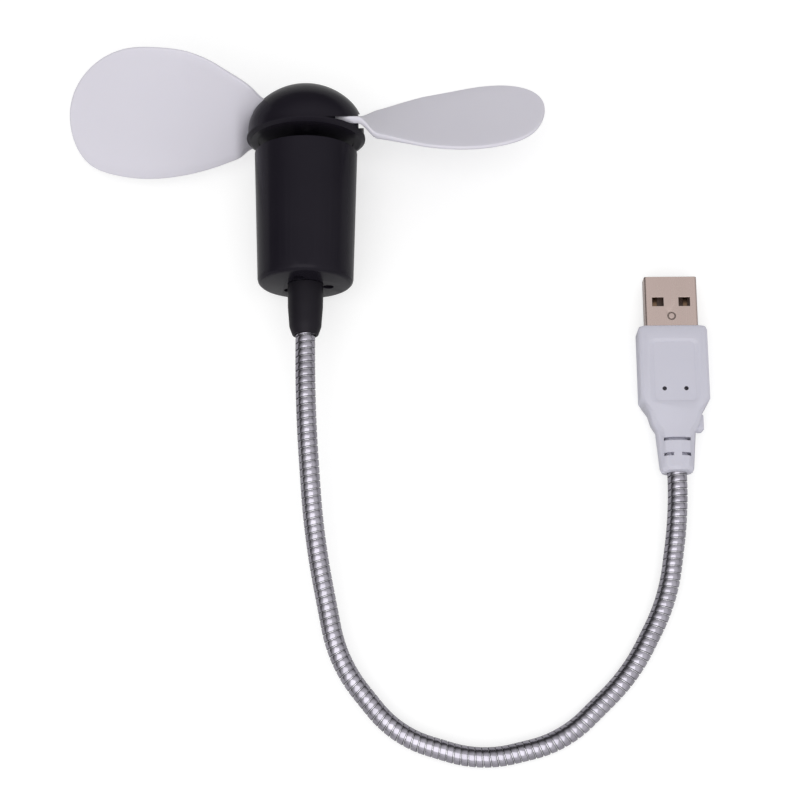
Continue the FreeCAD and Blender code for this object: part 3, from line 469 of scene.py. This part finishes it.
def windingTree():
    tree, graph, given = newTree("winding", ["Start", "End"] + list(winding),
                                 ["Flat Material", "Round Material", "Lead Material"])

    line = graph.add("GeometryNodeMeshToCurve", values={"Mesh": given("Geometry")})
    turn = graph.add("GeometryNodeInputNamedAttribute", {"data_type": "FLOAT"}, {"Name": "turnRadius"})
    route = graph.add("GeometryNodeFilletCurve", {"mode": "POLY"},
                      {"Curve": line, "Count": fineness["arcSteps"], "Radius": turn, "Limit Radius": False})
    span = given("End") - given("Start")

    def scaled(vector, factor):
        return graph.add("ShaderNodeVectorMath", {"operation": "SCALE"}, {0: vector, "Scale": factor})

    def strand(stepsPerLength, place, profile, material, turns):
        # a line of points sent along the route, set off sideways by place in the way that turns gives
        count = span * stepsPerLength
        count = count.sums("CEIL", count) + 1
        base = graph.add("GeometryNodeCurvePrimitiveLine", {"mode": "POINTS"}, {"End": (0, 0, 1)})
        dots = graph.add("GeometryNodeResampleCurve", {"mode": "COUNT"}, {"Curve": base, "Count": count})
        index = graph.add("GeometryNodeInputIndex")
        along = given("Start") + span * index / (count - 1)
        sample = tree.nodes.new("GeometryNodeSampleCurve")
        sample.mode = "LENGTH"
        sample.use_all_curves = True
        tree.links.new(route.socket, sample.inputs["Curves"])
        tree.links.new(along.socket, sample.inputs["Length"])
        middle = Wire(graph, sample.outputs["Position"])
        tangent = Wire(graph, sample.outputs["Tangent"])
        normal = Wire(graph, sample.outputs["Normal"])
        sideways = graph.add("ShaderNodeVectorMath", {"operation": "CROSS_PRODUCT"}, {0: tangent, 1: normal})
        angle = turns(along)
        first = scaled(normal, angle.sums("COSINE", angle))
        second = scaled(sideways, angle.sums("SINE", angle))
        outward = graph.add("ShaderNodeVectorMath", {"operation": "ADD"}, {0: first, 1: second})
        offset = scaled(outward, place)
        point = graph.add("ShaderNodeVectorMath", {"operation": "ADD"}, {0: middle, 1: offset})
        stored = graph.add("GeometryNodeCaptureAttribute", {}, {"Geometry": dots})
        capture = stored.socket.node
        capture.domain = "POINT"
        capture.capture_items.clear()
        capture.capture_items.new("VECTOR", "outward")
        tree.links.new(outward.socket, capture.inputs["outward"])
        moved = graph.add("GeometryNodeSetPosition", values={"Geometry": stored, "Position": point})
        aimed = graph.add("GeometryNodeSetCurveNormal", {"mode": "FREE"},
                          {"Curve": moved, "Normal": Wire(graph, capture.outputs["outward"])})
        solid = graph.add("GeometryNodeCurveToMesh",
                          values={"Curve": aimed, "Profile Curve": profile, "Fill Caps": True})
        return graph.add("GeometryNodeSetMaterial", values={"Geometry": solid, "Material": material})

    def wound(along):
        return along * (2 * math.pi) / given("Pitch")

    def woundBetween(along):
        return wound(along) + math.pi

    def unwound(along):
        return along * 0

    # the flat wire: a wedge with its broad side outwards, slightly crowned
    wedge = graph.add("GeometryNodeCurvePrimitiveQuadrilateral", {"mode": "TRAPEZOID"},
                      {"Height": given("Flat Depth"), "Bottom Width": given("Flat Foot"),
                       "Top Width": given("Flat Width"), "Offset": 0.0})
    wedge = graph.add("GeometryNodeFilletCurve", {"mode": "POLY"},
                      {"Curve": wedge, "Count": fineness["cornerSteps"], "Radius": given("Flat Corner"),
                       "Limit Radius": True})
    wedge = graph.add("GeometryNodeTransform", values={"Geometry": wedge, "Rotation": (0, 0, -math.pi / 2)})
    where = graph.add("GeometryNodeInputPosition")
    parts = tree.nodes.new("ShaderNodeSeparateXYZ")
    tree.links.new(where.socket, parts.inputs[0])
    share = Wire(graph, parts.outputs["Y"]) / given("Flat Width")
    across = share + 0.5
    crowned = graph.add("ShaderNodeCombineXYZ", values={"X": share * share * given("Flat Crown") * -4})
    wedge = graph.add("GeometryNodeStoreNamedAttribute", {"data_type": "FLOAT", "domain": "POINT"},
                      {"Geometry": wedge, "Name": "across", "Value": across})
    wedge = graph.add("GeometryNodeSetPosition", values={"Geometry": wedge, "Offset": crowned})
    dot = graph.add("GeometryNodeCurvePrimitiveCircle", {"mode": "RADIUS"},
                    {"Resolution": fineness["wireSides"], "Radius": given("Round Wire")})
    skin = graph.add("GeometryNodeCurvePrimitiveCircle", {"mode": "RADIUS"},
                     {"Resolution": fineness["leadSides"], "Radius": given("Lead Wire")})
    perLength = given("Steps") / given("Pitch")
    leadPerLength = perLength / fineness["leadStretch"]
    pieces = [
        strand(perLength, given("Flat Radius"), wedge, given("Flat Material"), wound),
        strand(perLength, given("Round Radius"), dot, given("Round Material"), woundBetween),
        strand(leadPerLength, given("Lead Offset"), skin, given("Lead Material"), unwound),
        strand(leadPerLength, given("Lead Offset") * -1, skin, given("Lead Material"), unwound),
    ]
    joined = tree.nodes.new("GeometryNodeJoinGeometry")
    for piece in reversed(pieces):
        tree.links.new(piece.socket, joined.inputs[0])
    real = graph.add("GeometryNodeRealizeInstances", values={"Geometry": Wire(graph, joined.outputs[0])})
    leave = tree.nodes.new("NodeGroupOutput")
    tree.links.new(real.socket, leave.inputs[0])
    return tree


def madeByTree(name, mesh, tree, values):
    carrier = addObject(name + "Maker", mesh)
    modifier = carrier.modifiers.new("maker", "NODES")
    modifier.node_group = tree
    sockets = {item.name: item.identifier for item in tree.interface.items_tree
               if item.item_type == "SOCKET" and item.in_out == "INPUT"}
    for key, value in values.items():
        modifier[sockets[key]] = value
    bpy.context.view_layer.update()
    shown = carrier.evaluated_get(bpy.context.evaluated_depsgraph_get())
    result = bpy.data.meshes.new_from_object(shown)
    bpy.data.objects.remove(carrier)
    return result


corners, radii, places, routeLength = routeFacts()
strandTree = windingTree()
marks = [0.0]            # lengths along the route at which one piece ends and the next begins
for before, after in zip(places, places[1:]):
    marks.append((before[0] + after[0]) / 2)
marks.append(routeLength)
for index, (length, point, way) in enumerate(places):
    values = dict(winding, Start=marks[index], End=marks[index + 1])
    values.update({"Flat Material": materials["steelWire"], "Round Material": materials["roundWire"],
                   "Lead Material": materials["leadSkin"]})
    mesh = madeByTree(f"neckWinding{index + 1}", routeCurve(corners, radii), strandTree, values)
    mesh.shade_smooth()
    mesh.set_sharp_from_angle(angle=curvedCrease)
    piece = addObject(f"neckWinding{index + 1}", mesh)
    replaced = [f"neck_tube_{index + 1}", f"neck_turns_{index + 1}", f"supply_leads_{index + 1}"]
    if index == len(places) - 1:
        replaced += [f"neck_tube_{index + 2}", f"supply_leads_{index + 2}"]
    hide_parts(*replaced)
    reach = way * neckRoute["bendReach"][index] * mm
    neckRoute["bodies"][index + 1]
    tuple(point - reach)
    tuple(point + reach)
    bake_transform(piece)
print("gooseneck wound, length", round(routeLength / mm, 1))

# blades: a sheet that leaves the hub's slot, twists outwards and is cut to a rounded outline;
# each outline point is (distance from the shaft, place across), in mm
bladeOutline = [(4.6, -6.6), (8.6, -8.5), (11.2, -8.4), (13.2, -8.1), (14.6, -8.8), (16.5, -9.6),
                (20.0, -10.9), (27.0, -12.7), (36.0, -13.7), (45.4, -12.8), (50.4, -10.9), (54.8, 0.6),
                (50.4, 10.8), (45.4, 15.2), (40.0, 17.6), (33.0, 18.3), (27.0, 17.8), (20.0, 15.1),
                (15.5, 12.15), (13.6, 11.0), (12.0, 9.5), (9.2, 6.0), (4.6, 4.6)]
bladeSheet = {
    "Tab Reach": 12.0 * mm, "Free Reach": 16.5 * mm, "Bend Reach": 27.0 * mm,
    "Tab Pitch": math.radians(22.82), "Free Pitch": math.radians(36.6), "Bend Pitch": math.radians(43.5),
    "Twist": math.radians(0.39) / mm, "Cut Pitch": math.radians(46.0),
    "Tab Lift": 0.017 * mm, "Free Lift": -1.5 * mm, "Bend Lift": 4.1 * mm,
    "Tab Thickness": 1.6 * mm, "Thickness": 0.9 * mm, "Edge Round": 0.38 * mm,
    "Columns": 72.0, "Edge Rows": 4.0, "Middle Rows": 12.0,
}
bladePlace = {"axisHeight": 5.5 * mm, "rimBelow": 1.2 * mm, "curveSteps": 14, "curveRounds": 40}


def smoothLine(points, steps, rounds):
    # a cubic through the points, whose bend at each point settles over the rounds
    spans = [(b - a).length for a, b in zip(points, points[1:])]
    bends = [Vector((0, 0)) for _ in points]
    for _ in range(rounds):
        for k in range(1, len(points) - 1):
            change = (points[k + 1] - points[k]) / spans[k] - (points[k] - points[k - 1]) / spans[k - 1]
            rest = change * 6 - bends[k - 1] * spans[k - 1] - bends[k + 1] * spans[k]
            bends[k] = rest / (2 * (spans[k - 1] + spans[k]))
    line = []
    for k, span in enumerate(spans):
        for step in range(steps):
            b = step / steps
            a = 1 - b
            line.append(points[k] * a + points[k + 1] * b
                        + (bends[k] * (a ** 3 - a) + bends[k + 1] * (b ** 3 - b)) * span * span / 6)
    return line + [points[-1]]


def bladeTree():
    numbers = list(bladeSheet) + ["Side", "Hub X", "Hub Y", "Hub Z"]
    tree, graph, given = newTree("blade", numbers, ["Blade Material"])
    rimCurve = graph.add("GeometryNodeMeshToCurve", values={"Mesh": given("Geometry")})
    rows = given("Edge Rows") * 2 + given("Middle Rows") + 1
    index = graph.add("GeometryNodeInputIndex")
    column = (index / rows).sums("FLOOR", index / rows)
    row = index - column * rows
    # the first two columns share their place, so that the root closes with a flat end
    share = (column - 1).atLeast(0.0) / (given("Columns") - 2)

    def edgePoint(factor, row):
        # a point near one edge, moved inwards while the thickness grows in a quarter round
        sample = tree.nodes.new("GeometryNodeSampleCurve")
        sample.mode = "FACTOR"
        sample.use_all_curves = True
        tree.links.new(rimCurve.socket, sample.inputs["Curves"])
        tree.links.new(factor.socket, sample.inputs["Factor"])
        point = graph.add("ShaderNodeSeparateXYZ", values={0: Wire(graph, sample.outputs["Position"])})
        way = graph.add("ShaderNodeSeparateXYZ", values={0: Wire(graph, sample.outputs["Tangent"])})
        turn = (row / given("Edge Rows")).held(0.0, 1.0) * (math.pi / 2)
        inset = given("Edge Round") * (1 - turn.sums("COSINE", turn))
        radius = point - Wire(graph, way.socket.node.outputs["Y"]) * inset
        across = Wire(graph, point.socket.node.outputs["Y"]) + way * inset
        return radius, across, turn.sums("SINE", turn)

    low = edgePoint(share / 2, row)
    high = edgePoint(1 - share / 2, rows - 1 - row)
    blend = ((row - given("Edge Rows")) / given("Middle Rows")).held(0.0, 1.0)
    radius = low[0] + (high[0] - low[0]) * blend
    across = low[1] + (high[1] - low[1]) * blend
    settled = ((radius - given("Tab Reach")) / (given("Free Reach") - given("Tab Reach"))).eased()
    outer = (radius - given("Bend Reach")).atLeast(0.0)
    turning = ((radius - given("Free Reach")) / (given("Bend Reach") - given("Free Reach"))).held(0.0, 1.0)
    pitch = given("Tab Pitch") + (given("Free Pitch") - given("Tab Pitch")) * settled \
        + (given("Bend Pitch") - given("Free Pitch")) * turning + given("Twist") * outer
    lift = given("Tab Lift") + (given("Free Lift") - given("Tab Lift")) * settled \
        + given("Bend Lift") * (outer / given("Bend Reach")) ** 2
    thinned = ((radius - given("Tab Reach")) / (given("Bend Reach") - given("Tab Reach"))).eased()
    half = (given("Tab Thickness") + (given("Thickness") - given("Tab Thickness")) * thinned) / 2
    half = half * low[2].sums("MINIMUM", low[2], high[2]) * column.held(0.0, 1.0)

    def layer(sign):
        height = lift + half * sign
        lean = given("Cut Pitch") - pitch
        place = (across - height * lean.sums("SINE", lean)) / lean.sums("COSINE", lean)
        cosine = pitch.sums("COSINE", pitch)
        sine = pitch.sums("SINE", pitch)
        sideways = place * cosine - height * sine
        upwards = place * sine + height * cosine
        point = graph.add("ShaderNodeCombineXYZ", values={
            "X": given("Hub X") + given("Side") * radius, "Y": given("Hub Y") + upwards,
            "Z": given("Hub Z") - given("Side") * sideways})
        grid = graph.add("GeometryNodeMeshGrid", values={"Vertices X": given("Columns"), "Vertices Y": rows})
        return graph.add("GeometryNodeSetPosition", values={"Geometry": grid, "Position": point})

    joined = tree.nodes.new("GeometryNodeJoinGeometry")
    for piece in (layer(1.0), layer(-1.0)):
        tree.links.new(piece.socket, joined.inputs[0])
    real = graph.add("GeometryNodeRealizeInstances", values={"Geometry": Wire(graph, joined.outputs[0])})
    coated = graph.add("GeometryNodeSetMaterial",
                       values={"Geometry": real, "Material": given("Blade Material")})
    leave = tree.nodes.new("NodeGroupOutput")
    tree.links.new(coated.socket, leave.inputs[0])
    return tree


def closeSeams(mesh):
    bm = bmesh.new()
    bm.from_mesh(mesh)
    bmesh.ops.remove_doubles(bm, verts=bm.verts, dist=weldReach)
    bmesh.ops.dissolve_degenerate(bm, edges=bm.edges, dist=weldReach)
    bmesh.ops.recalc_face_normals(bm, faces=bm.faces)
    bm.to_mesh(mesh)
    bm.free()


outline = smoothLine([Vector(point) * mm for point in bladeOutline], bladePlace["curveSteps"],
                     bladePlace["curveRounds"])
outlineMesh = bpy.data.meshes.new("bladeOutline")
outlineMesh.from_pydata([(point.x, point.y, 0) for point in outline],
                        [(k, k + 1) for k in range(len(outline) - 1)], [])
hubLow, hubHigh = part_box("hub_base")
sheetTree = bladeTree()
for name, node, side in (("bladeRight", "blade_right", 1.0), ("bladeLeft", "blade_left", -1.0)):
    values = dict(bladeSheet, Side=side)
    values.update({"Hub X": (hubLow[0] + hubHigh[0]) / 2, "Hub Z": (hubLow[2] + hubHigh[2]) / 2,
                   "Hub Y": hubLow[1] + bladePlace["rimBelow"] + bladePlace["axisHeight"],
                   "Blade Material": materials["whiteBlade"]})
    mesh = madeByTree(name, outlineMesh, sheetTree, values)
    closeSeams(mesh)
    mesh.shade_smooth()
    mesh.set_sharp_from_angle(angle=curvedCrease)
    piece = addObject(name, mesh)
    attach(piece, "rotor")
    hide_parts(node)
print("blades made, faces each:", len(mesh.polygons))

studio = {
    "aim": (-62.1 * mm, -6.6 * mm, 0.0), "tilt": 15.5, "distance": 503 * mm, "roll": -0.45,
    "lens": 99.0, "sensor": 36, "nearest": 0.01, "floorReach": 6.0, "floorTint": 0.52, "floorRough": 0.9,
    "floorGlow": 0.58, "floorGloss": 0.22,
    "skyLight": 0.70, "lampPower": 3.2, "lampSize": 0.9, "lampPlace": (-0.12, -0.36, 0.80),
    "roomAxis": (0.25, -0.50, 0.83), "roomTones": [(0.0, 0.08), (0.50, 0.80), (0.95, 1.10)],
}


def makeFloor():
    reach = studio["floorReach"]
    bm = bmesh.new()
    corners = [bm.verts.new((x * reach, y * reach, 0)) for x, y in ((-1, -1), (1, -1), (1, 1), (-1, 1))]
    bm.faces.new(corners)
    mesh = bpy.data.meshes.new("floor")
    bm.to_mesh(mesh)
    bm.free()
    material = bpy.data.materials.new("floorPaper")
    material.use_nodes = True
    tree = material.node_tree
    graph = Graph(tree)
    shader = tree.nodes["Principled BSDF"]
    tint = studio["floorTint"]
    shader.inputs["Base Color"].default_value = (tint, tint, tint, 1)
    shader.inputs["Roughness"].default_value = studio["floorRough"]
    rays = tree.nodes.new("ShaderNodeLightPath")
    camera = Wire(graph, rays.outputs["Is Camera Ray"])
    seen = camera.sums("MAXIMUM", camera, Wire(graph, rays.outputs["Is Transmission Ray"])) \
        + Wire(graph, rays.outputs["Is Glossy Ray"]) * studio["floorGloss"]
    glow = tree.nodes.new("ShaderNodeEmission")
    tree.links.new((seen * studio["floorGlow"]).socket, glow.inputs["Strength"])
    both = tree.nodes.new("ShaderNodeAddShader")
    tree.links.new(shader.outputs[0], both.inputs[0])
    tree.links.new(glow.outputs[0], both.inputs[1])
    tree.links.new(both.outputs[0], tree.nodes["Material Output"].inputs[0])
    mesh.materials.append(material)
    floor = addObject("floor", mesh)


def makeLights():
    world = bpy.data.worlds.new("studio")
    bpy.context.scene.world = world
    world.use_nodes = True
    tree = world.node_tree
    graph = Graph(tree)
    rays = tree.nodes.new("ShaderNodeLightPath")
    camera = Wire(graph, rays.outputs["Is Camera Ray"])
    seen = camera.sums("MAXIMUM", camera, Wire(graph, rays.outputs["Is Transmission Ray"]))
    # polish and gloss show a room that is white towards its bright side and dim away from it
    way = graph.add("ShaderNodeTexCoord", output="Generated")
    facing = graph.add("ShaderNodeVectorMath", {"operation": "DOT_PRODUCT"}, {0: way, 1: studio["roomAxis"]},
                       output="Value")
    room = graph.add("ShaderNodeValToRGB", {"stops": studio["roomTones"]}, {0: facing})
    glossy = Wire(graph, rays.outputs["Is Glossy Ray"]) * (room - studio["skyLight"])
    strength = studio["skyLight"] + seen * (1 - studio["skyLight"]) + glossy
    tree.links.new(strength.socket, tree.nodes["Background"].inputs["Strength"])
    tree.nodes["Background"].inputs["Color"].default_value = (1, 1, 1, 1)
    lamp = bpy.data.lights.new("softbox", "AREA")
    lamp.shape = "SQUARE"
    lamp.size = studio["lampSize"]
    lamp.energy = studio["lampPower"]
    box = addObject("softbox", lamp)
    box.location = studio["lampPlace"]
    aim = Vector(studio["aim"]) - Vector(box.location)
    box.rotation_euler = aim.to_track_quat("-Z", "Y").to_euler()


def makeCamera():
    tilt = math.radians(studio["tilt"])
    roll = math.radians(studio["roll"])
    back = Vector((0, -math.sin(tilt), math.cos(tilt)))
    up = Vector((0, math.cos(tilt), math.sin(tilt)))
    right = Vector((1, 0, 0)) * math.cos(roll) + up * math.sin(roll)
    top = up * math.cos(roll) - Vector((1, 0, 0)) * math.sin(roll)
    camera = bpy.data.cameras.new("camera")
    camera.lens = studio["lens"]
    camera.sensor_width = studio["sensor"]
    camera.clip_start = studio["nearest"]
    view = addObject("camera", camera)
    turn = view.matrix_world.to_3x3()
    for row in range(3):
        turn[row][0], turn[row][1], turn[row][2] = right[row], top[row], back[row]
    placed = turn.to_4x4()
    placed.translation = Vector(studio["aim"]) + back * studio["distance"]
    view.matrix_world = placed
    bpy.context.scene.camera = view


makeFloor()
makeLights()
makeCamera()
bpy.context.scene.view_settings.view_transform = "Standard"
print("floor, light and camera made")
